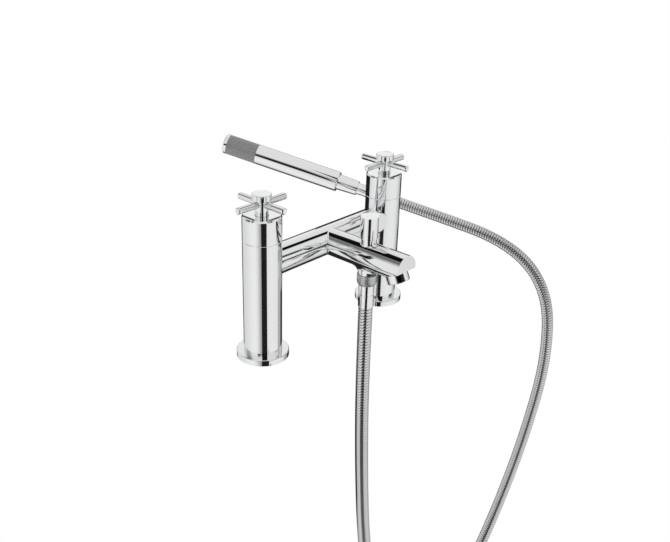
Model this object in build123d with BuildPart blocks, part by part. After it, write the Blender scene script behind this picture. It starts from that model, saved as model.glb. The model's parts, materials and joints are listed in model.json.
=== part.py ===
from build123d import *
import math
import os

# Bath shower mixer: two pillars on the bath deck, a bridge between them, a spout with a diverter
# on top and a hose outlet below, and a pencil handset on a 1.5 m metal hose.
# Origin: on the deck, midway between the pillars. +X along the bridge, -Y out along the spout, +Z up.

# Pillars and their seats on the deck
pillar_spacing = 180.0
pillar_diameter = 38.0
pillar_height = 148.0
shroud_height = 24.5
shroud_wall = 2.4
shroud_roof = 2.6
rim_chamfer = 1.4
seam_chamfer = 0.35
water_bore = 20.0
valve_bore = 25.0
valve_seat_depth = 41.5
valve_seat_bore = 13.0
valve_seat_land = 4.0
flange_diameter = 52.0
flange_thickness = 6.2
flange_edge = 0.9
foot_seat_depth = 2.6
gasket_diameter = 46.0
gasket_thickness = 1.5
gasket_clearance = 0.2
tail_diameter = 26.4
tail_bore = 18.0
tail_length = 62.0
tail_socket_depth = 9.0
tail_key_width = 3.0
tail_key_height = 6.0
tail_relief_width = 1.6
tail_relief_depth = 0.8
thread_clearance = 0.06
deck_thickness = 12.0
deck_washer_diameter = 40.0
deck_washer_thickness = 2.5
backnut_across_flats = 36.0
backnut_thickness = 8.0
backnut_collar = 2.0

# Ceramic valves
cartridge_nose_diameter = 17.0
cartridge_nose_length = 20.0
cartridge_cavity = 14.6
cartridge_hex = 27.0
cartridge_hex_height = 6.0
cartridge_neck_diameter = 12.0
cartridge_window_width = 7.0
cartridge_window_height = 7.5
seal_thickness = 2.2
seal_bore = 9.0
disc_diameter = 14.2
disc_thickness = 3.4
disc_port = 3.6
disc_port_spacing = 7.4
disc_film = 0.02
spindle_diameter = 7.9
spindle_driver_diameter = 11.0
spindle_driver_height = 2.2
spindle_clearance = 0.06

# Cross-head handles
handle_barrel_diameter = 13.0
handle_barrel_clearance = 0.3
handle_dip = 0.9
spoke_height = 11.3
spoke_diameter = 6.6
spoke_reach = 30.4
spoke_end_chamfer = 0.8
spoke_socket_depth = 1.8
spoke_count = 4
cap_diameter = 18.6
cap_thickness = 6.0
cap_gap = 0.5
cap_edge = 0.7
cap_spigot_diameter = 7.4
cap_spigot_length = 2.0
handle_counterbore = 7.8
handle_web = 2.4
screw_diameter = 3.9
screw_head_diameter = 7.2
screw_head_height = 2.2
screw_length = 12.0
screw_socket = 2.6
screw_clearance = 0.08

# Bridge and spout
bridge_drop = 51.0
bridge_diameter = 30.0
bridge_bore = 17.0
spigot_diameter = 22.0
spigot_clearance = 0.1
spigot_setback = 0.4
oring_groove_depth = 1.5
oring_width = 2.0
oring_setback = 2.2
spout_diameter = 28.0
spout_reach = 104.0
spout_bore = 20.0
spout_channel = 10.0
crease_fillet = 2.0
undercut_angle = 24.0
undercut_drop = 2.1
nose_wall = 5.0
outlet_reach = 56.0
outlet_neck_diameter = 18.0
outlet_flare_radius = 10.0
outlet_drop = 19.6
outlet_thread_diameter = 17.6
outlet_thread_length = 5.8
outlet_bore = 12.0
boss_diameter = 16.4
boss_rise = 18.5

# Diverter
diverter_bore = 13.6
diverter_body_diameter = 13.4
diverter_cavity = 10.4
diverter_floor_drop = 10.5
diverter_hex = 12.4
diverter_hex_height = 4.5
diverter_spindle_diameter = 6.0
diverter_spindle_rise = 15.5
diverter_shutter_diameter = 10.2
diverter_shutter_height = 15.0
diverter_port = 6.6
diverter_oring_depth = 10.5
knob_diameter = 18.0
knob_gap = 0.4
knob_height = 22.3
knob_hollow = 14.8
knob_lever_width = 17.0
knob_lever_thickness = 9.0
knob_lever_edge = 0.5
knob_lever_drop = 0.3
knob_lever_reach = 22.2
grub_screw_diameter = 3.0
grub_screw_length = 5.6

# Aerator
aerator_diameter = 22.4
aerator_showing = 9.0
aerator_setback = 1.8
aerator_pocket_depth = 7.5
aerator_wall = 1.7
aerator_lip = 1.2
aerator_edge = 0.5
aerator_insert_height = 9.0
aerator_hole = 2.0
aerator_hole_spacing = 3.4
aerator_seal_thickness = 1.6

# Check valve in the hose outlet
check_valve_diameter = 11.8
check_valve_height = 11.0
check_valve_bore = 7.0
check_valve_recess = 3.5

# Shower hose and its fittings
hose_diameter = 14.5
hose_groove = 0.9
hose_bore = 9.0
hose_lead = 82.0
rib_spacing = 4.0
rib_crest_share = 0.45
rib_flank_share = 0.2
ribbed_drop = 136.0
ribbed_lead = 152.0
rib_margin = 3.0
hose_drop = 86.7
hose_nut_diameter = 20.2
hose_nut_taper_height = 3.0
hose_nut_foot_diameter = 17.2
hose_nut_lip = 2.2
hose_nut_gap = 0.3
hose_washer_thickness = 1.6
hose_washer_bore = 11.0
ferrule_diameter = 15.8
ferrule_flange_diameter = 17.4
ferrule_flange_height = 2.0
ferrule_bore = 9.0
ferrule_groove_depth = 0.5
ferrule_groove_width = 1.3
ferrule_length = 26.3
ferrule_clearance = 0.15

# Handset: its nut's hose end, and the way that its axis points
handset_seat = (228.0, 152.0, 57.5)
handset_turn_angle = 117.8
handset_rise_angle = 13.2
handset_diameter = 26.4
handset_tube_wall = 1.0
handset_shoulder = 27.0
handset_length = 190.0
handset_rim = 1.2
spray_band_length = 42.0
spray_sleeve_wall = 1.4
spray_hole = 1.6
spray_rows = 5
spray_columns = 4
spray_spacing = 7.0
spray_row_angle = 15.0
end_cap_length = 5.0
end_cap_edge = 1.9
end_cap_spigot_length = 6.0
end_cap_wall = 2.0
handset_thread_diameter = 18.2
handset_thread_length = 20.0
handset_plug_length = 14.0
handset_waterway = 9.0
handset_groove_width = 2.0
handset_groove_depth = 1.4
core_diameter = 17.0
core_bore = 11.0
cone_nut_diameter = 20.6
cone_nut_mouth_diameter = 18.8
cone_nut_lip = 2.6
hand_ferrule_diameter = 15.2
hand_ferrule_flange_diameter = 17.6
hand_ferrule_length = 17.0

# One running_clearance clearance for pieces that slide or turn, and one cut_overlap_length for cuts
running_clearance = 0.05
cut_overlap_length = 1.0

# The hose's route between its straight drop from the outlet and its lead into the handset,
# chosen by hand. It hangs in one loop in front of the bath and rises to the handset beside it.
hose_route = [
    (2.0, -59.0, -158.0),
    (10.0, -62.0, -276.0),
    (34.0, -65.0, -392.0),
    (88.0, -67.0, -482.0),
    (170.0, -69.0, -516.0),
    (246.0, -73.0, -468.0),
    (292.0, -82.0, -370.0),
    (318.0, -94.0, -254.0),
    (333.0, -101.0, -140.0),
    (338.0, -86.0, -48.0),
    (320.0, -34.0, 8.0),
]

os.makedirs("parts", exist_ok=True)

pillar_radius = pillar_diameter / 2
outlet_x, outlet_y = 0, -outlet_reach


def finish(part, label):
    """Labels a finished piece and writes its STEP file."""
    part.label = label
    export_step(part, f"parts/{label}.step")


def post(plane, radius, height, mode=Mode.ADD):
    """A round post or hole that stands on a plane, in the part being built."""
    with BuildSketch(plane) as outline:
        Circle(radius)
    extrude(outline.sketch, amount=height, mode=mode)


def ring(plane, outer, inner, height, mode=Mode.ADD):
    """A plain ring that stands on a plane, given its two radii."""
    with BuildSketch(plane) as outline:
        Circle(outer)
        Circle(inner, mode=Mode.SUBTRACT)
    extrude(outline.sketch, amount=height, mode=mode)


def hexagon(plane, across_flats, height, mode=Mode.ADD):
    """A hexagon prism that stands on a plane."""
    with BuildSketch(plane) as outline:
        RegularPolygon(across_flats / 2, side_count=6, major_radius=False)
    extrude(outline.sketch, amount=height, mode=mode)


def end_edges(part, axis, radius, last=True):
    """The circle of this radius that lies furthest along the axis, or furthest back."""
    circles = part.edges().filter_by(GeomType.CIRCLE).filter_by(
        lambda edge: abs(edge.radius - radius) < running_clearance
    )
    groups = circles.group_by(axis)
    return groups[-1] if last else groups[0]


# Heights below the deck and inside a pillar
nut_foot_height = -deck_thickness - deck_washer_thickness - backnut_thickness
pillar_foot = flange_thickness - foot_seat_depth
shroud_foot = pillar_height - shroud_height
bridge_height = pillar_height - bridge_drop
valve_seat_height = shroud_foot - valve_seat_depth
cartridge_foot = valve_seat_height + seal_thickness
cartridge_nose_top = cartridge_foot + cartridge_nose_length
fixed_disc_top = cartridge_foot + disc_thickness
turning_disc_foot = fixed_disc_top + disc_film
turning_disc_top = turning_disc_foot + disc_thickness
driver_foot = turning_disc_top + running_clearance
cartridge_neck_top = pillar_height - shroud_roof / 2
spoke_level = pillar_height + spoke_height
cap_foot = spoke_level + spoke_diameter / 2 + cap_gap
hub_foot = pillar_height - handle_dip
spindle_top = spoke_level - spoke_diameter / 2
counterbore_floor = spindle_top + handle_web


def pillar(side, x, inward):
    """One leg: a heavy tube with the valve seat inside and a port for the bridge's spigot."""
    with BuildPart() as leg:
        post(Plane((x, 0, pillar_foot)), pillar_radius, shroud_foot - pillar_foot)
        seam = end_edges(leg.part, Axis.Z, pillar_radius)
        chamfer(seam, length=seam_chamfer)
        foot = Plane((x, 0, pillar_foot))
        post(foot, tail_diameter / 2 + thread_clearance, tail_socket_depth, Mode.SUBTRACT)
        bore_top = valve_seat_height - valve_seat_land
        post(foot, water_bore / 2, bore_top - pillar_foot, Mode.SUBTRACT)
        post(foot, valve_seat_bore / 2, valve_seat_height - pillar_foot, Mode.SUBTRACT)
        chamber = shroud_foot - valve_seat_height
        post(Plane((x, 0, valve_seat_height)), valve_bore / 2, chamber, Mode.SUBTRACT)
        port = Plane(origin=(x, 0, bridge_height), z_dir=(inward, 0, 0))
        post(port, spigot_diameter / 2 + spigot_clearance, pillar_diameter, Mode.SUBTRACT)
    finish(leg.part, f"{side}_pillar")


def shroud(side, x):
    """The sleeve that covers the valve's head, with a roof that the handle passes through."""
    with BuildPart() as sleeve:
        post(Plane((x, 0, shroud_foot)), pillar_radius, shroud_height)
        chamfer(end_edges(sleeve.part, Axis.Z, pillar_radius), length=rim_chamfer)
        chamfer(end_edges(sleeve.part, Axis.Z, pillar_radius, last=False), length=seam_chamfer)
        hollow = pillar_radius - shroud_wall
        post(Plane((x, 0, shroud_foot)), hollow, shroud_height - shroud_roof, Mode.SUBTRACT)
        hole = handle_barrel_diameter / 2 + handle_barrel_clearance
        post(Plane((x, 0, shroud_foot)), hole, shroud_height, Mode.SUBTRACT)
    finish(sleeve.part, f"{side}_shroud")


def base_flange(side, x):
    """The round foot plate: the leg sits in its top, a rubber gasket in its underside."""
    with BuildPart() as plate:
        post(Plane((x, 0, 0)), flange_diameter / 2, flange_thickness)
        fillet(end_edges(plate.part, Axis.Z, flange_diameter / 2), radius=flange_edge)
        seat = Plane((x, 0, pillar_foot))
        post(seat, pillar_radius + running_clearance, foot_seat_depth, Mode.SUBTRACT)
        tail_hole = tail_diameter / 2 + gasket_clearance
        post(Plane((x, 0, 0)), tail_hole, flange_thickness, Mode.SUBTRACT)
        recess = gasket_diameter / 2 + gasket_clearance
        post(Plane((x, 0, 0)), recess, gasket_thickness, Mode.SUBTRACT)
    finish(plate.part, f"{side}_base_flange")


def deck_fixings(side, x):
    """The gasket on the deck, the threaded tail through it, and the washer and nut beneath."""
    tail_radius = tail_diameter / 2
    with BuildPart() as gasket:
        inner = tail_radius + gasket_clearance
        ring(Plane((x, 0, 0)), gasket_diameter / 2, inner, gasket_thickness)
    finish(gasket.part, f"{side}_deck_gasket")

    tail_top = pillar_foot + tail_socket_depth
    with BuildPart() as tail:
        tail_foot = Plane((x, 0, tail_top - tail_length - tail_socket_depth))
        ring(tail_foot, tail_radius, tail_bore / 2, tail_length + tail_socket_depth)
        with BuildSketch(tail_foot) as key_slots:
            Rectangle(tail_diameter, tail_key_width)
        extrude(key_slots.sketch, amount=tail_key_height, mode=Mode.SUBTRACT)
        relief_foot = nut_foot_height - tail_relief_width
        relief = Plane((x, 0, relief_foot))
        relief_inner = tail_radius - tail_relief_depth
        ring(relief, tail_radius + cut_overlap_length, relief_inner, tail_relief_width, Mode.SUBTRACT)
    finish(tail.part, f"{side}_inlet_tail")

    with BuildPart() as washer:
        washer_foot = Plane((x, 0, nut_foot_height + backnut_thickness))
        inner = tail_radius + gasket_clearance
        ring(washer_foot, deck_washer_diameter / 2, inner, deck_washer_thickness)
    finish(washer.part, f"{side}_deck_washer")

    with BuildPart() as nut:
        hexagon_height = backnut_thickness - backnut_collar
        collar = Plane((x, 0, nut_foot_height + hexagon_height))
        post(collar, backnut_across_flats / 2 + backnut_collar, backnut_collar)
        nut_foot = Plane((x, 0, nut_foot_height))
        hexagon(nut_foot, backnut_across_flats, hexagon_height)
        post(nut_foot, tail_radius + thread_clearance, backnut_thickness, Mode.SUBTRACT)
    finish(nut.part, f"{side}_backnut")


def disc_ports(x, z, along_x):
    """The two ports of a ceramic disc, on the X or on the Y axis, cut from the part being built."""
    offset = disc_port_spacing / 2
    place = (offset, 0) if along_x else (0, offset)
    with BuildSketch(Plane((x, 0, z))) as ports:
        with Locations(place, (-place[0], -place[1])):
            Circle(disc_port / 2)
    extrude(ports.sketch, amount=disc_thickness, mode=Mode.SUBTRACT)


def valve(side, x):
    """The ceramic valve: its seal, two discs, turning spindle and brass body."""
    with BuildPart() as seal:
        seat = Plane((x, 0, valve_seat_height))
        ring(seat, cartridge_nose_diameter / 2, seal_bore / 2, seal_thickness)
    finish(seal.part, f"{side}_seat_seal")

    with BuildPart() as fixed_disc:
        post(Plane((x, 0, cartridge_foot)), disc_diameter / 2, disc_thickness)
        disc_ports(x, cartridge_foot, along_x=True)
    finish(fixed_disc.part, f"{side}_fixed_disc")

    with BuildPart() as turning_disc:
        post(Plane((x, 0, turning_disc_foot)), disc_diameter / 2 - running_clearance, disc_thickness)
        disc_ports(x, turning_disc_foot, along_x=False)
    finish(turning_disc.part, f"{side}_turning_disc")

    with BuildPart() as spindle:
        driver = Plane((x, 0, driver_foot))
        post(driver, spindle_driver_diameter / 2, spindle_driver_height)
        post(driver, spindle_diameter / 2, spindle_top - driver_foot)
        screw_floor = Plane((x, 0, counterbore_floor - screw_length))
        post(screw_floor, screw_diameter / 2 + screw_clearance, screw_length, Mode.SUBTRACT)
    finish(spindle.part, f"{side}_spindle")

    with BuildPart() as cartridge:
        post(Plane((x, 0, cartridge_foot)), cartridge_nose_diameter / 2, cartridge_nose_length)
        collar = Plane((x, 0, cartridge_nose_top))
        collar_radius = valve_bore / 2 - thread_clearance
        post(collar, collar_radius, shroud_foot - cartridge_nose_top)
        hexagon(Plane((x, 0, shroud_foot)), cartridge_hex, cartridge_hex_height)
        neck = Plane((x, 0, shroud_foot))
        neck_radius = cartridge_neck_diameter / 2
        post(neck, neck_radius, hub_foot - handle_barrel_clearance - shroud_foot)
        foot = Plane((x, 0, cartridge_foot))
        cavity_height = cartridge_nose_top - cartridge_foot
        post(foot, cartridge_cavity / 2, cavity_height, Mode.SUBTRACT)
        stem_hole = spindle_diameter / 2 + spindle_clearance
        post(foot, stem_hole, pillar_height - cartridge_foot, Mode.SUBTRACT)
        window_level = cartridge_nose_top - cartridge_window_height / 2 - seal_thickness
        for turn in (0, 90):
            across = Plane(
                origin=(x, 0, window_level),
                x_dir=(-math.sin(math.radians(turn)), math.cos(math.radians(turn)), 0),
                z_dir=(math.cos(math.radians(turn)), math.sin(math.radians(turn)), 0),
            )
            with BuildSketch(across) as window:
                Rectangle(cartridge_window_width, cartridge_window_height)
            extrude(window.sketch, amount=valve_bore / 2, both=True, mode=Mode.SUBTRACT)
    finish(cartridge.part, f"{side}_cartridge")


def handle(side, x):
    """The cross-head: a barrel on the spindle, four spokes in it, a screw and a cap."""
    barrel_radius = handle_barrel_diameter / 2
    socket_bottom = barrel_radius - spoke_socket_depth
    spoke_radius = spoke_diameter / 2
    quarter = 360 / spoke_count

    with BuildPart() as hub:
        post(Plane((x, 0, hub_foot)), barrel_radius, cap_foot - hub_foot)
        foot = Plane((x, 0, hub_foot))
        post(foot, spindle_diameter / 2 + spindle_clearance, spindle_top - hub_foot, Mode.SUBTRACT)
        hole_height = cap_foot - hub_foot
        post(foot, screw_diameter / 2 + screw_clearance, hole_height, Mode.SUBTRACT)
        counterbore = Plane((x, 0, counterbore_floor))
        post(counterbore, handle_counterbore / 2, cap_foot - counterbore_floor, Mode.SUBTRACT)
        for count in range(spoke_count):
            angle = math.radians(count * quarter)
            socket = Plane(
                origin=(
                    x + socket_bottom * math.cos(angle),
                    socket_bottom * math.sin(angle),
                    spoke_level,
                ),
                z_dir=(math.cos(angle), math.sin(angle), 0),
            )
            post(socket, spoke_radius + running_clearance, pillar_radius, Mode.SUBTRACT)
    finish(hub.part, f"{side}_handle_hub")

    with BuildPart() as spokes:
        for count in range(spoke_count):
            angle = math.radians(count * quarter)
            inner = socket_bottom + running_clearance
            root = Plane(
                origin=(x + inner * math.cos(angle), inner * math.sin(angle), spoke_level),
                z_dir=(math.cos(angle), math.sin(angle), 0),
            )
            post(root, spoke_radius, spoke_reach - inner)
        tips = spokes.part.edges().filter_by(GeomType.CIRCLE).sort_by_distance((x, 0, spoke_level))
        chamfer(tips[-spoke_count:], length=spoke_end_chamfer)
    finish(spokes.part, f"{side}_handle_spokes")

    with BuildPart() as cap:
        post(Plane((x, 0, cap_foot)), cap_diameter / 2, cap_thickness)
        fillet(end_edges(cap.part, Axis.Z, cap_diameter / 2), radius=cap_edge)
        spigot = Plane((x, 0, cap_foot - cap_spigot_length))
        post(spigot, cap_spigot_diameter / 2, cap_spigot_length)
    finish(cap.part, f"{side}_handle_cap")

    with BuildPart() as screw:
        shank_length = screw_length - screw_clearance
        shank = Plane((x, 0, counterbore_floor - shank_length))
        post(shank, screw_diameter / 2, shank_length)
        post(Plane((x, 0, counterbore_floor)), screw_head_diameter / 2, screw_head_height)
        drive = Plane((x, 0, counterbore_floor + screw_head_height / 2))
        hexagon(drive, screw_socket, screw_head_height, Mode.SUBTRACT)
    finish(screw.part, f"{side}_handle_screw")


def bridge_oring(side, x, inward):
    """The seal ring in the groove of the bridge's spigot."""
    groove_end = pillar_spacing / 2 - pillar_radius + oring_setback
    with BuildPart() as oring:
        inner = spigot_diameter / 2 - oring_groove_depth
        outer = spigot_diameter / 2 + spigot_clearance
        start = Plane(origin=(-inward * groove_end, 0, bridge_height), z_dir=(-inward, 0, 0))
        ring(start, outer, inner, oring_width)
    finish(oring.part, f"{side}_bridge_oring")


for side, x, inward in (("left", -pillar_spacing / 2, 1), ("right", pillar_spacing / 2, -1)):
    pillar(side, x, inward)
    shroud(side, x)
    base_flange(side, x)
    deck_fixings(side, x)
    valve(side, x)
    handle(side, x)
    bridge_oring(side, x, inward)

# The body: bridge, spout, hose outlet and diverter boss are one casting with drilled waterways
bridge_span = pillar_spacing
spigot_half = pillar_spacing / 2 - valve_bore / 2 - spigot_setback
spout_radius = spout_diameter / 2
outlet_shoulder_height = bridge_height - outlet_drop
thread_foot = outlet_shoulder_height - outlet_thread_length
neck_foot = bridge_height - spout_radius - 2 * outlet_flare_radius
boss_top = bridge_height + boss_rise
diverter_floor = bridge_height - diverter_floor_drop
across_bridge = Plane(origin=(-bridge_span / 2, 0, bridge_height), z_dir=(1, 0, 0))
along_spout = Plane(origin=(0, 0, bridge_height), z_dir=(0, -1, 0))

# The underside of the spout's nose is cut on a slope, and the aerator stands square to that cut
slope = math.radians(undercut_angle)
cut_normal = (0, -math.sin(slope), -math.cos(slope))
cut_edge = (0, -spout_reach, bridge_height - undercut_drop)
cut_length = (spout_radius - undercut_drop) / math.sin(slope)
aerator_from_edge = aerator_diameter / 2 + aerator_setback
aerator_centre = (
    0,
    -spout_reach + aerator_from_edge * math.cos(slope),
    bridge_height - undercut_drop - aerator_from_edge * math.sin(slope),
)
aerator_plane = Plane(origin=aerator_centre, x_dir=(1, 0, 0), z_dir=cut_normal)
pocket_plane = aerator_plane.offset(-aerator_pocket_depth)

with BuildPart() as bridge_body:
    post(across_bridge, bridge_diameter / 2, bridge_span)
    post(along_spout, spout_radius, spout_reach)
    crease = bridge_body.part.edges().filter_by(
        lambda edge: edge.geom_type != GeomType.CIRCLE
        and -bridge_diameter < edge.center().Y < -running_clearance
        and abs(edge.center().X) < spout_diameter
        and edge.geom_type != GeomType.LINE
    )
    fillet(crease, radius=crease_fillet)
    for x in (-pillar_spacing / 2, pillar_spacing / 2):
        post(Plane((x, 0, 0)), pillar_radius, pillar_height, Mode.SUBTRACT)
    spigot_start = Plane(origin=(-spigot_half, 0, bridge_height), z_dir=(1, 0, 0))
    post(spigot_start, spigot_diameter / 2, 2 * spigot_half)
    for way in (-1, 1):
        groove_end = pillar_spacing / 2 - pillar_radius + oring_setback
        groove = Plane(origin=(way * groove_end, 0, bridge_height), z_dir=(way, 0, 0))
        outer = spigot_diameter / 2 + cut_overlap_length
        inner = spigot_diameter / 2 - oring_groove_depth
        ring(groove, outer, inner, oring_width, Mode.SUBTRACT)

    # Hose outlet: a neck that flares out of the spout, cut off square above the hose's thread
    neck = Plane((outlet_x, outlet_y, neck_foot))
    post(neck, outlet_neck_diameter / 2, bridge_height - neck_foot)
    outlet_join = bridge_body.part.edges().filter_by(
        lambda edge: edge.geom_type not in (GeomType.CIRCLE, GeomType.LINE)
        and abs(edge.center().Y - outlet_y) < outlet_neck_diameter / 2
        and neck_foot < edge.center().Z < bridge_height
    )
    fillet(outlet_join, radius=outlet_flare_radius)
    flare_reach = outlet_neck_diameter / 2 + outlet_flare_radius
    post(neck, flare_reach, outlet_shoulder_height - neck_foot, Mode.SUBTRACT)
    thread = Plane((outlet_x, outlet_y, thread_foot))
    post(thread, outlet_thread_diameter / 2, outlet_thread_length)

    # Boss for the diverter
    boss = Plane((outlet_x, outlet_y, bridge_height))
    post(boss, boss_diameter / 2, boss_rise)

    # The nose's sloping underside and the aerator's pocket
    with BuildSketch(Plane(origin=cut_edge, x_dir=(1, 0, 0), z_dir=cut_normal)) as undercut:
        Rectangle(spout_diameter + cut_overlap_length, 2 * cut_length)
    extrude(undercut.sketch, amount=spout_diameter, mode=Mode.SUBTRACT)
    post(pocket_plane, aerator_diameter / 2 + running_clearance, spout_diameter, Mode.SUBTRACT)

    # Waterways: along the bridge, out to the diverter, on to the nose, and down to the hose
    post(spigot_start, bridge_bore / 2, 2 * spigot_half, Mode.SUBTRACT)
    near_reach = outlet_reach - diverter_bore
    post(along_spout, spout_bore / 2, near_reach, Mode.SUBTRACT)
    channel_end = outlet_reach + diverter_bore
    post(along_spout, spout_channel / 2, channel_end, Mode.SUBTRACT)
    far_start = along_spout.offset(outlet_reach + diverter_bore)
    far_length = spout_reach - nose_wall - outlet_reach - diverter_bore
    post(far_start, spout_channel / 2, far_length, Mode.SUBTRACT)
    pocket_bottom = Plane((outlet_x, outlet_y, diverter_floor))
    post(pocket_bottom, diverter_bore / 2, boss_top - diverter_floor, Mode.SUBTRACT)
    post(thread, outlet_bore / 2, diverter_floor - thread_foot, Mode.SUBTRACT)
finish(bridge_body.part, "bridge_body")

# Diverter: a body in the boss, a shutter that its spindle turns, and the knob with its lever
diverter_body_top = boss_top + diverter_hex_height
diverter_spindle_top = boss_top + diverter_spindle_rise
diverter_oring_foot = boss_top - diverter_oring_depth
with BuildPart() as diverter_body:
    floor = Plane((outlet_x, outlet_y, diverter_floor))
    post(floor, diverter_body_diameter / 2, boss_top - diverter_floor)
    hexagon(Plane((outlet_x, outlet_y, boss_top)), diverter_hex, diverter_hex_height)
    shutter_room = diverter_shutter_height + 2 * running_clearance
    post(floor, diverter_cavity / 2, shutter_room, Mode.SUBTRACT)
    stem_hole = diverter_spindle_diameter / 2 + running_clearance
    post(floor, stem_hole, diverter_body_top - diverter_floor, Mode.SUBTRACT)
    through = Plane(
        origin=(outlet_x, outlet_y - diverter_bore, bridge_height), z_dir=(0, 1, 0)
    )
    post(through, diverter_port / 2, 2 * diverter_bore, Mode.SUBTRACT)
    groove = Plane((outlet_x, outlet_y, diverter_oring_foot))
    inner = diverter_body_diameter / 2 - oring_groove_depth
    ring(groove, diverter_bore, inner, oring_width, Mode.SUBTRACT)
finish(diverter_body.part, "diverter_body")

with BuildPart() as diverter_oring:
    inner = diverter_body_diameter / 2 - oring_groove_depth
    ring(Plane((outlet_x, outlet_y, diverter_oring_foot)), diverter_bore / 2, inner, oring_width)
finish(diverter_oring.part, "diverter_oring")

with BuildPart() as diverter_spindle:
    shutter = Plane((outlet_x, outlet_y, diverter_floor + running_clearance))
    post(shutter, diverter_shutter_diameter / 2, diverter_shutter_height)
    post(shutter, diverter_spindle_diameter / 2, diverter_spindle_top - diverter_floor - running_clearance)
    side_port = Plane(origin=(outlet_x, outlet_y, bridge_height), z_dir=(0, 1, 0))
    post(side_port, diverter_port / 2, diverter_shutter_diameter, Mode.SUBTRACT)
    post(shutter, diverter_port / 2, bridge_height - diverter_floor, Mode.SUBTRACT)
finish(diverter_spindle.part, "diverter_spindle")

knob_radius = knob_diameter / 2
knob_foot = boss_top + knob_gap
knob_top = knob_foot + knob_height
lever_radius = knob_lever_width / 2
lever_level = knob_top - knob_lever_drop - lever_radius
lever_straight = knob_lever_reach - lever_radius
with BuildPart() as diverter_knob:
    lever_side = Plane(
        origin=(outlet_x, outlet_y + knob_lever_thickness / 2, lever_level),
        x_dir=(1, 0, 0),
        z_dir=(0, -1, 0),
    )
    with BuildSketch(lever_side) as lever_outline:
        with Locations((lever_straight / 2, 0)):
            Rectangle(lever_straight, knob_lever_width)
        with Locations((lever_straight, 0)):
            Circle(lever_radius)
    extrude(lever_outline.sketch, amount=knob_lever_thickness)
    side_faces = diverter_knob.part.faces().filter_by(Axis.Y)
    chamfer(side_faces.edges(), length=knob_lever_edge)
    post(Plane((outlet_x, outlet_y, knob_foot)), knob_radius, knob_top - knob_foot)
    hollow = Plane((outlet_x, outlet_y, knob_foot))
    hollow_height = diverter_body_top + knob_gap - knob_foot
    post(hollow, knob_hollow / 2, hollow_height, Mode.SUBTRACT)
    stem_height = diverter_spindle_top + running_clearance - knob_foot
    post(hollow, diverter_spindle_diameter / 2 + running_clearance, stem_height, Mode.SUBTRACT)
    grub_level = (diverter_body_top + diverter_spindle_top) / 2
    grub_hole = Plane(origin=(outlet_x, outlet_y, grub_level), z_dir=(0, 1, 0))
    post(grub_hole, grub_screw_diameter / 2 + thread_clearance, knob_diameter, Mode.SUBTRACT)
finish(diverter_knob.part, "diverter_knob")

with BuildPart() as grub_screw:
    grub_reach = diverter_spindle_diameter / 2 + running_clearance
    grub_start = Plane(origin=(outlet_x, outlet_y + grub_reach, grub_level), z_dir=(0, 1, 0))
    post(grub_start, grub_screw_diameter / 2, grub_screw_length)
finish(grub_screw.part, "diverter_grub_screw")

# Aerator: a chromed housing, the strainer insert inside it and the seal that it tightens on
aerator_radius = aerator_diameter / 2
housing_height = aerator_pocket_depth + aerator_showing - aerator_seal_thickness
housing_plane = pocket_plane.offset(aerator_seal_thickness)
insert_radius = aerator_radius - aerator_wall - running_clearance
with BuildPart() as aerator_housing:
    post(housing_plane, aerator_radius, housing_height)
    outer_edge = end_edges(aerator_housing.part, Axis((0, 0, 0), cut_normal), aerator_radius)
    chamfer(outer_edge, length=aerator_edge)
    post(housing_plane, insert_radius + running_clearance, housing_height - aerator_lip, Mode.SUBTRACT)
    post(housing_plane, insert_radius - aerator_lip, housing_height, Mode.SUBTRACT)
finish(aerator_housing.part, "aerator_housing")

with BuildPart() as aerator_insert:
    insert_plane = housing_plane.offset(housing_height - aerator_lip - aerator_insert_height)
    post(insert_plane, insert_radius, aerator_insert_height)
    with BuildSketch(insert_plane) as strainer:
        with HexLocations(aerator_hole_spacing / 2, 5, 5):
            RegularPolygon(aerator_hole / 2, side_count=6)
    extrude(strainer.sketch, amount=aerator_insert_height, mode=Mode.SUBTRACT)
finish(aerator_insert.part, "aerator_insert")

with BuildPart() as aerator_seal:
    inner = insert_radius - aerator_lip
    ring(pocket_plane, aerator_radius - running_clearance, inner, aerator_seal_thickness)
finish(aerator_seal.part, "aerator_seal")

# Check valve in the outlet: a closed cartridge, hollow at both ends
with BuildPart() as check_valve:
    cage_foot = Plane((outlet_x, outlet_y, thread_foot))
    post(cage_foot, check_valve_diameter / 2, check_valve_height)
    cage_top = cage_foot.offset(check_valve_height)
    post(cage_foot, check_valve_bore / 2, check_valve_recess, Mode.SUBTRACT)
    post(cage_top, check_valve_bore / 2, -check_valve_recess, Mode.SUBTRACT)
finish(check_valve.part, "check_valve")

# Hose nut, its washer and the ferrule crimped on the hose
flange_foot = thread_foot - hose_washer_thickness - ferrule_flange_height
hose_start = Vector(outlet_x, outlet_y, flange_foot - ferrule_length)
nut_foot = flange_foot - thread_clearance - hose_nut_lip
hose_nut_height = outlet_shoulder_height - hose_nut_gap - nut_foot
with BuildPart() as hose_nut:
    taper_top = Plane((outlet_x, outlet_y, nut_foot + hose_nut_taper_height))
    post(taper_top, hose_nut_diameter / 2, hose_nut_height - hose_nut_taper_height)
    with BuildSketch(taper_top) as wide:
        Circle(hose_nut_diameter / 2)
    with BuildSketch(Plane((outlet_x, outlet_y, nut_foot))) as narrow:
        Circle(hose_nut_foot_diameter / 2)
    loft([narrow.sketch, wide.sketch], ruled=True)
    foot = Plane((outlet_x, outlet_y, nut_foot))
    post(foot, ferrule_diameter / 2 + ferrule_clearance, hose_nut_height, Mode.SUBTRACT)
    room = Plane((outlet_x, outlet_y, nut_foot + hose_nut_lip))
    socket_radius = outlet_thread_diameter / 2 + thread_clearance
    post(room, socket_radius, hose_nut_height, Mode.SUBTRACT)
finish(hose_nut.part, "hose_nut")

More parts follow.
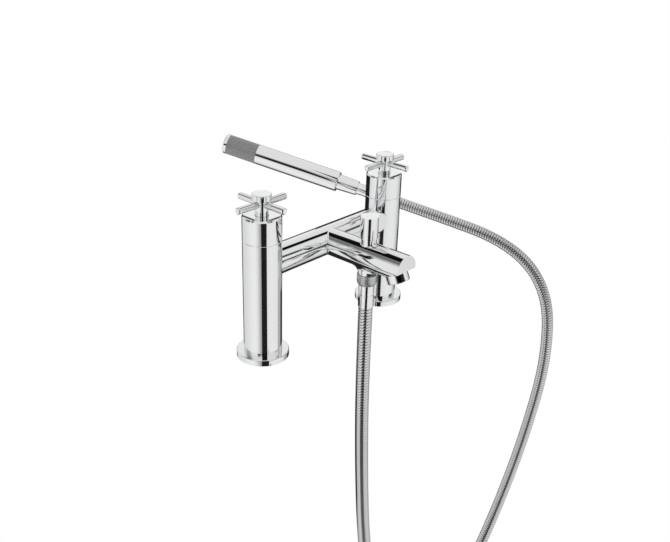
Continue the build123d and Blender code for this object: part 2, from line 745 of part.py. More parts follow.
with BuildPart() as hose_washer:
    washer_foot = Plane((outlet_x, outlet_y, thread_foot - hose_washer_thickness))
    ring(washer_foot, ferrule_flange_diameter / 2, hose_washer_bore / 2, hose_washer_thickness)
finish(hose_washer.part, "hose_washer")

with BuildPart() as outlet_ferrule:
    foot = Plane((outlet_x, outlet_y, hose_start.Z))
    post(foot, ferrule_diameter / 2, ferrule_length)
    flange = Plane((outlet_x, outlet_y, flange_foot))
    post(flange, ferrule_flange_diameter / 2, ferrule_flange_height)
    groove = Plane((outlet_x, outlet_y, hose_start.Z + ferrule_length / 2))
    inner = ferrule_diameter / 2 - ferrule_groove_depth
    ring(groove, ferrule_diameter, inner, ferrule_groove_width, Mode.SUBTRACT)
    post(foot, ferrule_bore / 2, ferrule_length + ferrule_flange_height, Mode.SUBTRACT)
finish(outlet_ferrule.part, "outlet_ferrule")

# Handset, built along its own axis from the nut's hose end to the spray end
yaw, pitch = math.radians(handset_turn_angle), math.radians(handset_rise_angle)
handset_way = Vector(
    math.cos(yaw) * math.cos(pitch), math.sin(yaw) * math.cos(pitch), math.sin(pitch)
)
level = (-math.sin(yaw), math.cos(yaw), 0)
handset_plane = Plane(origin=handset_seat, x_dir=level, z_dir=handset_way)
handset_axis = Axis(handset_seat, handset_way)
handset_radius = handset_diameter / 2
tube_bore = handset_radius - handset_tube_wall
band_start = handset_length - end_cap_length - spray_band_length
thread_top = handset_shoulder + handset_plug_length / 2
thread_start = thread_top - handset_thread_length

with BuildPart() as handset_tube:
    start = handset_plane.offset(handset_shoulder)
    post(start, handset_radius, band_start - handset_shoulder)
    rim = end_edges(handset_tube.part, handset_axis, handset_radius, last=False)
    fillet(rim, radius=handset_rim)
    post(start, tube_bore, band_start - handset_shoulder, Mode.SUBTRACT)
finish(handset_tube.part, "handset_tube")

with BuildPart() as handset_plug:
    plug_start = handset_plane.offset(handset_shoulder)
    post(plug_start, tube_bore - running_clearance, handset_plug_length)
    post(handset_plane.offset(thread_start), handset_thread_diameter / 2, handset_thread_length)
    seal_groove = handset_plane.offset(handset_shoulder + handset_plug_length / 2)
    inner = tube_bore - handset_groove_depth
    ring(seal_groove, handset_radius, inner, handset_groove_width, Mode.SUBTRACT)
    waterway_start = handset_plane.offset(thread_start)
    waterway_length = handset_shoulder + handset_plug_length - thread_start
    post(waterway_start, handset_waterway / 2, waterway_length, Mode.SUBTRACT)
finish(handset_plug.part, "handset_plug")

with BuildPart() as handset_oring:
    inner = tube_bore - handset_groove_depth
    ring(seal_groove, tube_bore, inner, handset_groove_width)
finish(handset_oring.part, "handset_oring")

sleeve_outer = handset_radius - running_clearance
sleeve_inner = sleeve_outer - spray_sleeve_wall
with BuildPart() as spray_sleeve:
    ring(handset_plane.offset(band_start), sleeve_outer, sleeve_inner, spray_band_length)
    for row in range(spray_rows):
        turn = math.radians((row - (spray_rows - 1) / 2) * spray_row_angle)
        outward = handset_plane.x_dir * math.sin(turn) - handset_plane.y_dir * math.cos(turn)
        for column in range(spray_columns):
            stand = band_start + spray_band_length / 2
            stand += (column - (spray_columns - 1) / 2) * spray_spacing
            centre = handset_plane.offset(stand).origin
            jet = Plane(origin=centre, x_dir=handset_way, z_dir=outward)
            with BuildSketch(jet) as hole:
                RegularPolygon(spray_hole / 2, side_count=6)
            extrude(hole.sketch, amount=handset_radius, mode=Mode.SUBTRACT)
finish(spray_sleeve.part, "spray_sleeve")

with BuildPart() as spray_core:
    core_start = band_start - end_cap_spigot_length
    core_end = handset_length - end_cap_wall
    post(handset_plane.offset(core_start), tube_bore - running_clearance, end_cap_spigot_length)
    post(handset_plane.offset(band_start), core_diameter / 2, core_end - band_start)
    bore_start = handset_plane.offset(core_start)
    post(bore_start, core_bore / 2, core_end - core_start - end_cap_spigot_length, Mode.SUBTRACT)
    for turn in (0, 90):
        flow = math.radians(turn)
        outward = handset_plane.x_dir * math.cos(flow) + handset_plane.y_dir * math.sin(flow)
        centre = handset_plane.offset(band_start + spray_band_length / 2).origin
        cross = Plane(origin=centre - outward * core_diameter, z_dir=outward)
        post(cross, handset_waterway / 3, 2 * core_diameter, Mode.SUBTRACT)
finish(spray_core.part, "spray_core")

with BuildPart() as end_cap:
    cap_start = handset_plane.offset(handset_length - end_cap_length)
    post(cap_start, handset_radius, end_cap_length)
    fillet(end_edges(end_cap.part, handset_axis, handset_radius), radius=end_cap_edge)
    post(cap_start, core_diameter / 2 + running_clearance, end_cap_length - end_cap_wall, Mode.SUBTRACT)
finish(end_cap.part, "handset_end_cap")

# The cone nut turns with the handset; the ferrule inside it stays with the hose
with BuildPart() as cone_nut:
    with BuildSketch(handset_plane) as mouth:
        Circle(cone_nut_mouth_diameter / 2)
    with BuildSketch(handset_plane.offset(handset_shoulder - hose_nut_gap)) as back:
        Circle(cone_nut_diameter / 2)
    loft([mouth.sketch, back.sketch], ruled=True)
    ferrule_hole = hand_ferrule_diameter / 2 + ferrule_clearance
    post(handset_plane, ferrule_hole, handset_shoulder, Mode.SUBTRACT)
    socket_radius = handset_thread_diameter / 2 + thread_clearance
    post(handset_plane.offset(cone_nut_lip), socket_radius, handset_shoulder, Mode.SUBTRACT)
finish(cone_nut.part, "cone_nut")

flange_start = cone_nut_lip + running_clearance
flange_end = flange_start + ferrule_flange_height
with BuildPart() as cone_washer:
    washer_start = handset_plane.offset(flange_end + running_clearance)
    washer_thickness = thread_start - flange_end - running_clearance
    washer_radius = hand_ferrule_flange_diameter / 2
    ring(washer_start, washer_radius, hose_washer_bore / 2, washer_thickness)
finish(cone_washer.part, "cone_washer")

with BuildPart() as hand_ferrule:
    barrel_start = handset_plane.offset(-hand_ferrule_length)
    post(barrel_start, hand_ferrule_diameter / 2, hand_ferrule_length + flange_start)
    post(
        handset_plane.offset(flange_start),
        hand_ferrule_flange_diameter / 2,
        ferrule_flange_height,
    )
    groove = handset_plane.offset(-hand_ferrule_length / 2)
    inner = hand_ferrule_diameter / 2 - ferrule_groove_depth
    ring(groove, hand_ferrule_diameter, inner, ferrule_groove_width, Mode.SUBTRACT)
    full_length = hand_ferrule_length + flange_end
    post(barrel_start, ferrule_bore / 2, full_length, Mode.SUBTRACT)
finish(hand_ferrule.part, "handset_ferrule")

# The hose: straight runs joined by tangent arcs, each as large as its two runs allow.
# It leaves the handset's ferrule along the handset's own axis.
hose_end = barrel_start.origin
lead_corner = barrel_start.offset(-hose_lead).origin
drop_corner = hose_start - Vector(0, 0, hose_drop)
corners = [hose_start, drop_corner] + [Vector(*point) for point in hose_route]
corners += [lead_corner, hose_end]
arc_share = 0.45
radii = []
for before, corner, after in zip(corners, corners[1:], corners[2:]):
    half_turn = math.radians((corner - before).get_angle(after - corner) / 2)
    shorter_run = min((corner - before).length, (after - corner).length)
    radii.append(arc_share * shorter_run / math.tan(half_turn))
print("hose radii:", [round(radius) for radius in radii])

hose_radius = hose_diameter / 2
valley_radius = hose_radius - hose_groove
mean_radius = (hose_radius + valley_radius) / 2
with BuildLine() as route:
    FilletPolyline(*corners, radius=radii)
run = route.wire()
lead_start = run.length - ribbed_lead


def hose_section(distance, radius):
    """A circle across the hose at a distance along it, with its X axis kept steady."""
    place = run.position_at(distance, position_mode=PositionMode.LENGTH)
    way = run.tangent_at(distance, position_mode=PositionMode.LENGTH)
    steady = way.cross(Vector(0, 1, 0)).normalized()
    with BuildSketch(Plane(origin=place, x_dir=steady, z_dir=way)) as circle:
        Circle(radius)
    return circle.sketch.face()


def ribbed_stretch(start, end):
    """A ribbed stretch of the hose: every rib is a ruled loft through four circles."""
    count = round((end - start) / rib_spacing)
    pitch = (end - start) / count
    half_crest = pitch * rib_crest_share / 2
    half_foot = half_crest + pitch * rib_flank_share
    circles = [hose_section(start, valley_radius)]
    for number in range(count):
        middle = start + (number + 0.5) * pitch
        circles.append(hose_section(middle - half_foot, valley_radius))
        circles.append(hose_section(middle - half_crest, hose_radius))
        circles.append(hose_section(middle + half_crest, hose_radius))
        circles.append(hose_section(middle + half_foot, valley_radius))
    circles.append(hose_section(end, valley_radius))
    print("hose ribs:", count, "at a pitch of", round(pitch, 2))
    return Solid.make_loft([circle.outer_wire() for circle in circles], ruled=True)


# The ribs are on the two stretches that the photograph shows, with a plain tube between them
with BuildPart() as hose:
    sweep(hose_section(ribbed_drop, mean_radius), path=run.trim(ribbed_drop / run.length,
                                                               lead_start / run.length))
    add([ribbed_stretch(0, ribbed_drop), ribbed_stretch(lead_start, run.length)])
    sweep(hose_section(0, hose_bore / 2), path=run, mode=Mode.SUBTRACT)
bore_volume = math.pi * (hose_bore / 2) ** 2 * run.length
tube_volume = math.pi * mean_radius**2 * run.length - bore_volume
print("hose length:", round(run.length), "volume ratio:", round(hose.part.volume / tube_volume, 4))
finish(hose.part, "shower_hose")
print("hose length:", round(run.length))
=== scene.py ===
import json
import math

import bpy
import numpy as np
from mathutils import Matrix, Vector


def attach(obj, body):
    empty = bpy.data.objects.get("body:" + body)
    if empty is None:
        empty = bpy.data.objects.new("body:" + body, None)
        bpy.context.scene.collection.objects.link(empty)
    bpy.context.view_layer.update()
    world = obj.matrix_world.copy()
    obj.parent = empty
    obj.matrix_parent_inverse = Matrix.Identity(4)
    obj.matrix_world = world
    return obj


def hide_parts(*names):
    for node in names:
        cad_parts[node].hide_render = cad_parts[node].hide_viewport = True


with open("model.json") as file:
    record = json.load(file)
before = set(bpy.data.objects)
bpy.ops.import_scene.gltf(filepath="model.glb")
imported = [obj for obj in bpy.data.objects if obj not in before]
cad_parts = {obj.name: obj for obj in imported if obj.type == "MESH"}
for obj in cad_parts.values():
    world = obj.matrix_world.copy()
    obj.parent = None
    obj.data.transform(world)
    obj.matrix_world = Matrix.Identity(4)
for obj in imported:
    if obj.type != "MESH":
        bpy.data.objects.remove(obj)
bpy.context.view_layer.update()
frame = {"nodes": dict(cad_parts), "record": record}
nodes = frame["nodes"]
millimetre = 0.001

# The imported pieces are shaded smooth, and stay sharp at edges that turn more than this
sharp_angle = math.radians(28)
weld_distance = 2e-6

# Sizes of the pieces that are built here, in metres
hose_radius = 7.25 * millimetre
hose_core_radius = 5.7 * millimetre
hose_core_bevel_steps = 5
hose_core_curve_steps = 24
hose_turn_pitch = 3.35 * millimetre
hose_steps_per_turn = 20
route_steps_per_bend = 200
ferrule_length = 17.0 * millimetre
lead_length = 82.0 * millimetre

# The wound strip's section: along the hose in turns, and outward in hose radii
hose_profile = [
    (-0.455, 0.90), (-0.42, 0.965), (-0.37, 0.99), (-0.30, 1.0),
    (0.30, 1.0), (0.37, 0.99), (0.42, 0.965), (0.455, 0.90),
]

# The hose's route: the same points as in the CAD source, in metres
hose_route = [
    (0.0, -0.056, 0.0417),
    (0.0, -0.056, -0.045),
    (0.002, -0.059, -0.158),
    (0.010, -0.062, -0.276),
    (0.034, -0.065, -0.392),
    (0.088, -0.067, -0.482),
    (0.170, -0.069, -0.516),
    (0.246, -0.073, -0.468),
    (0.292, -0.082, -0.370),
    (0.318, -0.094, -0.254),
    (0.333, -0.101, -0.140),
    (0.338, -0.086, -0.048),
    (0.320, -0.034, 0.008),
]
handset_seat = Vector((0.228, 0.152, 0.0575))
handset_turn_angle = math.radians(117.8)
handset_rise_angle = math.radians(13.2)
handset_way = Vector(
    (
        math.cos(handset_turn_angle) * math.cos(handset_rise_angle),
        math.sin(handset_turn_angle) * math.cos(handset_rise_angle),
        math.sin(handset_rise_angle),
    )
)
ferrule_end = handset_seat - handset_way * ferrule_length
lead_corner = ferrule_end - handset_way * lead_length
hose_points = [Vector(point) for point in hose_route] + [lead_corner, ferrule_end]

# Spray band: a fine grid of low nozzles, each with a pit in its middle. Its rows stand closer
# together than the nozzles of one row
handset_radius = 13.2 * millimetre
band_start = 143.0 * millimetre
band_length = 42.0 * millimetre
jet_spacing = 2.1 * millimetre
jet_row_spacing = jet_spacing * 0.87
jet_radius = 0.62 * millimetre
jet_rise = 0.12 * millimetre
jet_pit = 0.5 * millimetre
jet_sink = 0.05 * millimetre
jet_sides = 8

# A nozzle's rims from its foot to the floor of its pit: radius, and height over its foot
jet_rims = [
    (jet_radius, 0.0),
    (jet_radius * 0.82, jet_rise),
    (jet_radius * 0.45, jet_rise * 0.9),
    (jet_radius * 0.3, -jet_pit),
]

# The camera, fitted to the photograph
camera_azimuth = math.radians(-48.64)
camera_elevation = math.radians(24.89)
camera_roll = math.radians(1.75)
camera_place = Vector((-605.195, -546.135, 439.665)) * millimetre
camera_lens = 46.34
camera_clip_start = 0.01
camera_bearing = math.atan2(-math.cos(camera_azimuth), math.sin(camera_azimuth))
sensor_width = 36.0
picture_width = 670
picture_height = 542

# How bright the room's walls are, by bearing from the camera in degrees
wall_levels = [
    (-180, 0.95), (-138, 0.70), (-95, 0.78), (-60, 0.88), (-36, 0.91), (-22, 0.78), (-3, 0.38),
    (10, 0.40), (20, 0.80), (60, 0.87), (95, 0.84), (114, 0.64), (130, 0.5), (180, 0.95),
]

# The ceiling takes over from the walls at this elevation, over a soft edge, and has no upper
# edge, since its end lies past the top
ceiling_level = 0.80
ceiling_start = math.radians(30)
ceiling_end = math.radians(120)
ceiling_soft = math.radians(12)

# Each dark gap in the room: bearing and elevation, both low to high, in degrees, then the soft
# edge of each and how bright it is
room_gaps = [
    (0, 31.5, 6, 55, 1.2, 4.0, 0.012),
    (134, 219, -56, 11, 5.0, 4.0, 0.03),
    (-152, -100, 49, 64, 3.0, 1.5, 0.01),
    (-112, -72, 24, 50, 14.0, 12.0, 0.4),
    (118, 145, 43, 56, 4.0, 2.0, 0.0),
    (78, 112, 17, 27, 8.0, 3.0, 0.05),
    (80, 100, -12, -4, 4.0, 3.0, 0.12),
    (-62, 70, 0, 18, 8.0, 3.0, 0.02),
    (-25, -12, 10, 28, 4.0, 2.0, 0.12),
    (-125, -65, 36, 60, 10.0, 8.0, 0.4),
    (55, 100, 50, 66, 10.0, 6.0, 0.4),
    (-32, 245, -89, -56, 12.0, 7.0, 0.1),
]

# Black cards, in metres: where each ends to the left, right, bottom and top. Those in front
# stand square to the camera, and those behind square to the spout
card_colour = (0.012, 0.012, 0.013)
front_place = -0.490
front_cards = [
    ("front_card", -0.0595, 0.194, -0.29, 0.06),
    ("hose_card", -0.22, 0.29, -0.8, -0.29),
]
back_place = 0.06
back_cards = [
    ("low_card", -0.085, 0.055, -0.35, -0.005),
    ("side_card", 0.042, 0.13, 0.06, 0.14),
]

# The stage, in metres: a plug of the bath's deck round each tail, and a floor under the hose
stage_tone = 0.9
stage_roughness = 0.9
plug_places = {"left": -0.09, "right": 0.09}
plug_radius = 24.5 * millimetre
plug_depth = 80.0 * millimetre
plug_sides = 48
floor_reach = 0.55
floor_level = -0.6


def link(obj):
    """Puts a new object in the scene and returns it."""
    bpy.context.scene.collection.objects.link(obj)
    return obj


def mesh_piece(name, corners, faces, material):
    """A new mesh object of one material."""
    mesh = bpy.data.meshes.new(name)
    mesh.from_pydata(corners, [], faces)
    mesh.materials.append(material)
    return link(bpy.data.objects.new(name, mesh))


# Materials
grain_detail = 4.0
grain_lift = 0.1 * millimetre
grain_shade = 0.86
chrome_grain = 90.0
chrome_tint = (1.0, 1.005, 1.012)


def new_material(name):
    """An empty node material, with its node tree and Principled shader."""
    material = bpy.data.materials.new(name)
    material.use_nodes = True
    tree = material.node_tree
    return material, tree, tree.nodes["Principled BSDF"]


def node(tree, kind, **values):
    """A shader node with some of its inputs set by name."""
    made = tree.nodes.new(kind)
    for key, value in values.items():
        made.inputs[key].default_value = value
    return made


def surface_grain(tree, shader, scale, low, high, bump=0.0):
    """Noise on an object's own surface: it varies the roughness, and lifts it a little."""
    place = tree.nodes.new("ShaderNodeTexCoord")
    noise = node(tree, "ShaderNodeTexNoise", Scale=scale, Detail=grain_detail)
    spread = tree.nodes.new("ShaderNodeMapRange")
    spread.inputs["To Min"].default_value = low
    spread.inputs["To Max"].default_value = high
    tree.links.new(place.outputs["Object"], noise.inputs["Vector"])
    tree.links.new(noise.outputs["Fac"], spread.inputs["Value"])
    tree.links.new(spread.outputs["Result"], shader.inputs["Roughness"])
    if bump:
        lift = node(tree, "ShaderNodeBump", Strength=bump, Distance=grain_lift)
        tree.links.new(noise.outputs["Fac"], lift.inputs["Height"])
        tree.links.new(lift.outputs["Normal"], shader.inputs["Normal"])
    return noise


def chrome_material(name, tone, low, high):
    """Polished chrome: a clean mirror with faint, uneven haze."""
    material, tree, shader = new_material(name)
    shader.inputs["Base Color"].default_value = (*[tone * tint for tint in chrome_tint], 1)
    shader.inputs["Metallic"].default_value = 1.0
    surface_grain(tree, shader, chrome_grain, low, high)
    return material


def plain_material(name, colour, low, high, metallic=0.0, scale=300.0, bump=0.2):
    """Brass, rubber, ceramic or moulded plastic, told apart by colour, gloss and grain."""
    material, tree, shader = new_material(name)
    shader.inputs["Metallic"].default_value = metallic
    noise = surface_grain(tree, shader, scale, low, high, bump)
    ramp = tree.nodes.new("ShaderNodeValToRGB")
    ramp.color_ramp.elements[0].color = (*[part * grain_shade for part in colour], 1)
    ramp.color_ramp.elements[1].color = (*colour, 1)
    tree.links.new(noise.outputs["Fac"], ramp.inputs["Fac"])
    tree.links.new(ramp.outputs["Color"], shader.inputs["Base Color"])
    return material


def camera_choice(tree, others, camera):
    """Two shaders in one: the camera sees the last, and everything else the first."""
    path = tree.nodes.new("ShaderNodeLightPath")
    choose = tree.nodes.new("ShaderNodeMixShader")
    tree.links.new(path.outputs["Is Camera Ray"], choose.inputs["Fac"])
    tree.links.new(others, choose.inputs[1])
    tree.links.new(camera, choose.inputs[2])
    return choose.outputs["Shader"]


materials = {
    "chrome": chrome_material("chrome", 0.90, 0.03, 0.055),
    "hose_steel": chrome_material("hose_steel", 0.72, 0.07, 0.13),
    # The hose core is near black: painted shade for the gaps between the spiral's turns
    "hose_gap_shade": plain_material("hose_gap_shade", (0.08, 0.08, 0.09), 0.4, 0.6, scale=900.0),
    "satin": plain_material(
        "satin", (0.66, 0.67, 0.67), 0.34, 0.52, metallic=1.0, scale=1400.0, bump=0.5
    ),
    "brass": plain_material("brass", (0.72, 0.52, 0.22), 0.24, 0.38, metallic=1.0),
    "rubber": plain_material("rubber", (0.03, 0.03, 0.03), 0.55, 0.75, scale=900.0),
    "ceramic": plain_material("ceramic", (0.86, 0.85, 0.80), 0.12, 0.2, scale=600.0),
    "steel": plain_material("steel", (0.55, 0.56, 0.57), 0.28, 0.42, metallic=1.0),
    "spray_grey": plain_material("spray_grey", (0.33, 0.33, 0.34), 0.3, 0.45, scale=700.0),
    "jet_grey": plain_material("jet_grey", (0.75, 0.75, 0.76), 0.3, 0.45, scale=700.0),
    "white_plastic": plain_material("white_plastic", (0.8, 0.8, 0.78), 0.35, 0.5),
}

for part in frame["record"]["subparts"]:
    mesh = nodes[part["node"]].data
    mesh.materials.clear()
    mesh.materials.append(materials[part["material_slot"]])
nodes["hose_nut"].data.materials[0] = materials["satin"]

# The deck hides what is below it from the chrome above
for side in ("left", "right"):
    for name in ("inlet_tail", "deck_washer", "backnut", "deck_gasket"):
        nodes[f"{side}_{name}"].visible_glossy = False


def smooth(obj):
    """Shades a mesh smooth, with its true edges kept sharp."""
    weld = obj.modifiers.new("weld", "WELD")
    weld.merge_threshold = weld_distance
    for face in obj.data.polygons:
        face.use_smooth = True
    split = obj.modifiers.new("edges", "EDGE_SPLIT")
    split.split_angle = sharp_angle


for part in nodes.values():
    smooth(part)


# Hose: a core tube along the route, with one unbroken steel spiral wound round it
def hose_core():
    """The tube inside the spiral, a curve on the route's own control points. Its near-black
    colour is painted shade, seen in the gaps between the strip's turns.
    """
    curve = bpy.data.curves.new("hose_core", "CURVE")
    curve.dimensions = "3D"
    curve.bevel_depth = hose_core_radius
    curve.bevel_resolution = hose_core_bevel_steps
    curve.resolution_u = hose_core_curve_steps
    spline = curve.splines.new("NURBS")
    spline.points.add(len(hose_points) - 1)
    for point, place in zip(spline.points, hose_points):
        point.co = (*place, 1)
    spline.order_u = 3
    spline.use_endpoint_u = True
    curve.materials.append(materials["hose_gap_shade"])
    return link(bpy.data.objects.new("hose_core", curve))


def route_curve():
    """Close places along the route's quadratic curve, and each one's distance along it."""
    places = []
    corners = [np.array(point) for point in hose_points]
    knots = [corners[0]]
    knots += [(a + b) / 2 for a, b in zip(corners[1:-2], corners[2:-1])]
    knots += [corners[-1]]
    for start, corner, end in zip(knots, corners[1:-1], knots[1:]):
        for step in np.linspace(0, 1, route_steps_per_bend, endpoint=False):
            rest = 1 - step
            places.append(rest**2 * start + 2 * step * rest * corner + step**2 * end)
    places.append(corners[-1])
    places = np.array(places)
    gaps = np.linalg.norm(np.diff(places, axis=0), axis=1)
    return places, np.concatenate([[0], np.cumsum(gaps)])


def untwisted_sides(ways):
    """A direction square to each of the route's ways, carried along without a twist."""
    sides = np.zeros_like(ways)
    sides[0] = np.cross(ways[0], (0, 1, 0))
    sides[0] /= np.linalg.norm(sides[0])
    for number in range(1, len(ways)):
        last = sides[number - 1]
        level = last - ways[number] * np.dot(last, ways[number])
        sides[number] = level / np.linalg.norm(level)
    return sides


def hose_spiral():
    """The wound strip: its broad back stands proud, and its edges dip towards the core."""
    curve, reach = route_curve()
    turns = int(reach[-1] / hose_turn_pitch)
    count = turns * hose_steps_per_turn + 1
    wanted = np.linspace(0, reach[-1], count)
    places = np.stack([np.interp(wanted, reach, curve[:, axis]) for axis in range(3)], axis=1)
    ways = np.gradient(places, axis=0)
    ways /= np.linalg.norm(ways, axis=1)[:, None]
    sides = untwisted_sides(ways)
    others = np.cross(ways, sides)
    angle = np.arange(count) * 2 * math.pi / hose_steps_per_turn
    outward = sides * np.cos(angle)[:, None] + others * np.sin(angle)[:, None]
    rows = [
        places + outward * hose_radius * share + ways * hose_turn_pitch * along
        for along, share in hose_profile
    ]
    corners = np.stack(rows, axis=1).reshape(-1, 3).tolist()
    wide = len(hose_profile)
    faces = [
        (i * wide + j, i * wide + j + 1, (i + 1) * wide + j + 1, (i + 1) * wide + j)
        for i in range(count - 1)
        for j in range(wide - 1)
    ]
    strip = mesh_piece("hose_spiral", corners, faces, materials["hose_steel"])
    for face in strip.data.polygons:
        face.use_smooth = True
    return strip


core = hose_core()
spiral = hose_spiral()
for piece in (core, spiral):
    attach(piece, "mixer")
    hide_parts("shower_hose")


def jet_grid():
    """Staggered rings of nozzles round the spray band."""
    level = Vector((-math.sin(handset_turn_angle), math.cos(handset_turn_angle), 0))
    other = handset_way.cross(level)
    around = int(2 * math.pi * handset_radius / jet_spacing)
    along = int(band_length / jet_row_spacing)
    foot = handset_radius - jet_sink
    points = []
    faces = []
    for row in range(1, along):
        centre = handset_seat + handset_way * (band_start + band_length * row / along)
        for column in range(around):
            turn = 2 * math.pi * (column + 0.5 * (row % 2)) / around
            outward = level * math.cos(turn) + other * math.sin(turn)
            sideways = handset_way.cross(outward)
            first = len(points)
            for radius, rise in jet_rims:
                for step in range(jet_sides):
                    angle = 2 * math.pi * step / jet_sides
                    spread = handset_way * math.cos(angle) + sideways * math.sin(angle)
                    points.append(tuple(centre + outward * (foot + rise) + spread * radius))
            for ring in range(len(jet_rims) - 1):
                for step in range(jet_sides):
                    a = first + ring * jet_sides + step
                    b = first + ring * jet_sides + (step + 1) % jet_sides
                    faces.append((a, b, b + jet_sides, a + jet_sides))
            last_ring = first + (len(jet_rims) - 1) * jet_sides
            faces.append(tuple(last_ring + step for step in range(jet_sides)))
    jets = mesh_piece("spray_jets", points, faces, materials["jet_grey"])
    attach(jets, "handset")


jet_grid()


def set_camera():
    """The photograph's camera, at its place, with its slight roll."""
    back = Vector(
        (
            math.sin(camera_azimuth) * math.cos(camera_elevation),
            -math.cos(camera_azimuth) * math.cos(camera_elevation),
            math.sin(camera_elevation),
        )
    )
    right = (-back).cross(Vector((0, 0, 1))).normalized()
    up = right.cross(-back)
    rolled_right = right * math.cos(camera_roll) + up * math.sin(camera_roll)
    rolled_up = up * math.cos(camera_roll) - right * math.sin(camera_roll)
    data = bpy.data.cameras.new("camera")
    data.lens = camera_lens
    data.sensor_width = sensor_width
    data.clip_start = camera_clip_start
    camera = link(bpy.data.objects.new("camera", data))
    turn = Matrix((rolled_right, rolled_up, back)).transposed().to_4x4()
    camera.matrix_world = Matrix.Translation(camera_place) @ turn
    bpy.context.scene.camera = camera


set_camera()


# Light: a white room, with the dark gaps that chrome shows as stripes
def calculate(tree, operation, *values):
    """A math node: its inputs are numbers or other nodes' outputs."""
    made = tree.nodes.new("ShaderNodeMath")
    made.operation = operation
    for slot, value in zip(made.inputs, values):
        if isinstance(value, (int, float)):
            slot.default_value = value
        else:
            tree.links.new(value, slot)
    return made.outputs[0]


def within(tree, value, low, high, soft):
    """1 where the value is between low and high, easing to 0 over a soft edge."""
    rise = tree.nodes.new("ShaderNodeMapRange")
    fall = tree.nodes.new("ShaderNodeMapRange")
    for slope, start, stop in ((rise, low - soft, low + soft), (fall, high + soft, high - soft)):
        slope.interpolation_type = "SMOOTHSTEP"
        tree.links.new(value, slope.inputs["Value"])
        slope.inputs["From Min"].default_value = start
        slope.inputs["From Max"].default_value = stop
    return calculate(tree, "MULTIPLY", rise.outputs["Result"], fall.outputs["Result"])


def bare_room(tree, bearing, elevation):
    """How bright the walls and the ceiling are, before any gap."""
    share = calculate(tree, "MULTIPLY_ADD", bearing, 1 / (2 * math.pi), 0.5)
    walls = tree.nodes.new("ShaderNodeValToRGB")
    stops = walls.color_ramp.elements
    for turn, _ in wall_levels[1:-1]:
        stops.new((turn + 180) / 360)
    for stop, (turn, tone) in zip(stops, wall_levels):
        stop.position = (turn + 180) / 360
        stop.color = (tone, tone, tone, 1)
    tree.links.new(share, walls.inputs["Fac"])
    upward = within(tree, elevation, ceiling_start, ceiling_end, ceiling_soft)
    difference = calculate(tree, "SUBTRACT", ceiling_level, walls.outputs["Color"])
    return calculate(tree, "MULTIPLY_ADD", upward, difference, walls.outputs["Color"])


def gap_share(tree, bearing, elevation, gap):
    """How much of the light is left at one of the room's gaps: 1 outside it."""
    left, right, low, high, soft_side, soft_end, tone = gap
    middle = math.radians((left + right) / 2)
    half = math.radians((right - left) / 2)
    turned = calculate(tree, "SUBTRACT", bearing, middle)
    turned = calculate(tree, "WRAP", turned, math.pi, -math.pi)
    across = within(tree, turned, -half, half, math.radians(soft_side))
    tall = within(tree, elevation, math.radians(low), math.radians(high), math.radians(soft_end))
    patch = calculate(tree, "MULTIPLY", across, tall)
    return calculate(tree, "MULTIPLY_ADD", patch, tone - 1.0, 1.0)


def set_world():
    """White behind the object; to everything else a soft room with dark gaps in it."""
    world = bpy.data.worlds.new("room")
    bpy.context.scene.world = world
    world.use_nodes = True
    tree = world.node_tree
    tree.nodes.clear()
    place = tree.nodes.new("ShaderNodeTexCoord")
    split = tree.nodes.new("ShaderNodeSeparateXYZ")
    tree.links.new(place.outputs["Generated"], split.inputs[0])
    bearing = calculate(tree, "ARCTAN2", split.outputs["Y"], split.outputs["X"])
    bearing = calculate(tree, "SUBTRACT", bearing, camera_bearing)
    bearing = calculate(tree, "WRAP", bearing, math.pi, -math.pi)
    elevation = calculate(tree, "ARCSINE", split.outputs["Z"])
    level = bare_room(tree, bearing, elevation)
    for gap in room_gaps:
        level = calculate(tree, "MULTIPLY", level, gap_share(tree, bearing, elevation, gap))
    room = node(tree, "ShaderNodeBackground", Color=(1, 1, 1, 1))
    tree.links.new(level, room.inputs["Strength"])
    white = node(tree, "ShaderNodeBackground", Color=(1, 1, 1, 1), Strength=1.0)
    seen = camera_choice(tree, room.outputs["Background"], white.outputs["Background"])
    out = tree.nodes.new("ShaderNodeOutputWorld")
    tree.links.new(seen, out.inputs["Surface"])


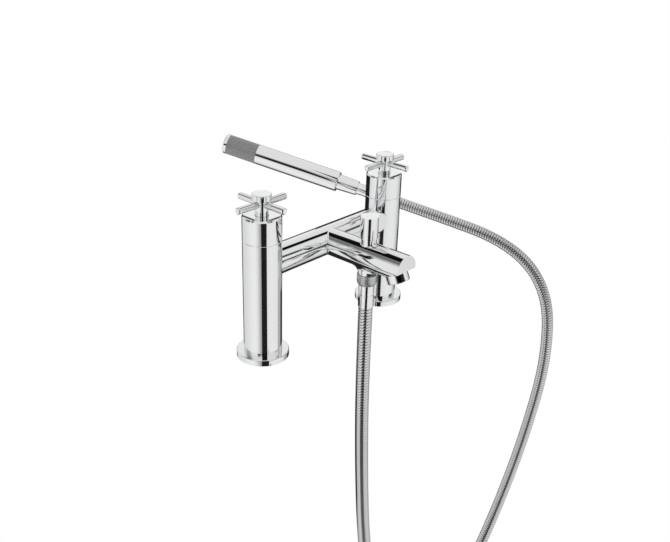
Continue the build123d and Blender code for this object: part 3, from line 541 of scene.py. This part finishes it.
def stage_piece(name, corners, faces):
    """A plain pale surface round the object that mirrors don't see."""
    material, tree, shader = new_material(name)
    glow = node(tree, "ShaderNodeEmission", Color=(1, 1, 1, 1), Strength=1.0)
    shader.inputs["Base Color"].default_value = (stage_tone, stage_tone, stage_tone, 1)
    shader.inputs["Roughness"].default_value = stage_roughness
    seen = camera_choice(tree, shader.outputs["BSDF"], glow.outputs["Emission"])
    tree.links.new(seen, tree.nodes["Material Output"].inputs["Surface"])
    piece = mesh_piece(name, corners, faces, material)
    piece.visible_glossy = False


def dark_card(name, corners):
    """A matt black card that only the polished surfaces see."""
    black = plain_material(name, card_colour, 0.8, 0.9)
    card = mesh_piece(name, corners, [(0, 1, 2, 3)], black)
    card.visible_camera = False
    card.visible_diffuse = False
    card.visible_shadow = False


def set_cards():
    """Two before the mixer give the black stripes, and two behind it darken left edges."""
    forward = Vector((-math.sin(camera_azimuth), math.cos(camera_azimuth), 0))
    sideways = Vector((forward.y, -forward.x, 0))
    front = (front_cards, forward * front_place, sideways)
    back = (back_cards, Vector((0, back_place, 0)), Vector((1, 0, 0)))
    for cards, centre, across in (front, back):
        for name, left, right, bottom, top in cards:
            places = ((left, bottom), (right, bottom), (right, top), (left, top))
            corners = [
                tuple(centre + across * aside + Vector((0, 0, level))) for aside, level in places
            ]
            dark_card(name, corners)


def set_stage():
    """A plug of the deck at each foot, open below, which hides its tail, and the floor."""
    for foot, middle in plug_places.items():
        turns = [2 * math.pi * side / plug_sides for side in range(plug_sides)]
        corners = [
            (middle + plug_radius * math.cos(turn), plug_radius * math.sin(turn), level)
            for level in (0.0, -plug_depth)
            for turn in turns
        ]
        walls = []
        for side in range(plug_sides):
            following = (side + 1) % plug_sides
            walls.append((side, following, plug_sides + following, plug_sides + side))
        stage_piece(f"{foot}_deck", corners, walls)
    ends = ((-1, -1), (1, -1), (1, 1), (-1, 1))
    floor = [(x * floor_reach, y * floor_reach, floor_level) for x, y in ends]
    stage_piece("floor", floor, [(0, 1, 2, 3)])


set_stage()
set_cards()
set_world()

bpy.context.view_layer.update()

scene = bpy.context.scene
scene.view_settings.view_transform = "Standard"
scene.render.resolution_x = picture_width
scene.render.resolution_y = picture_height
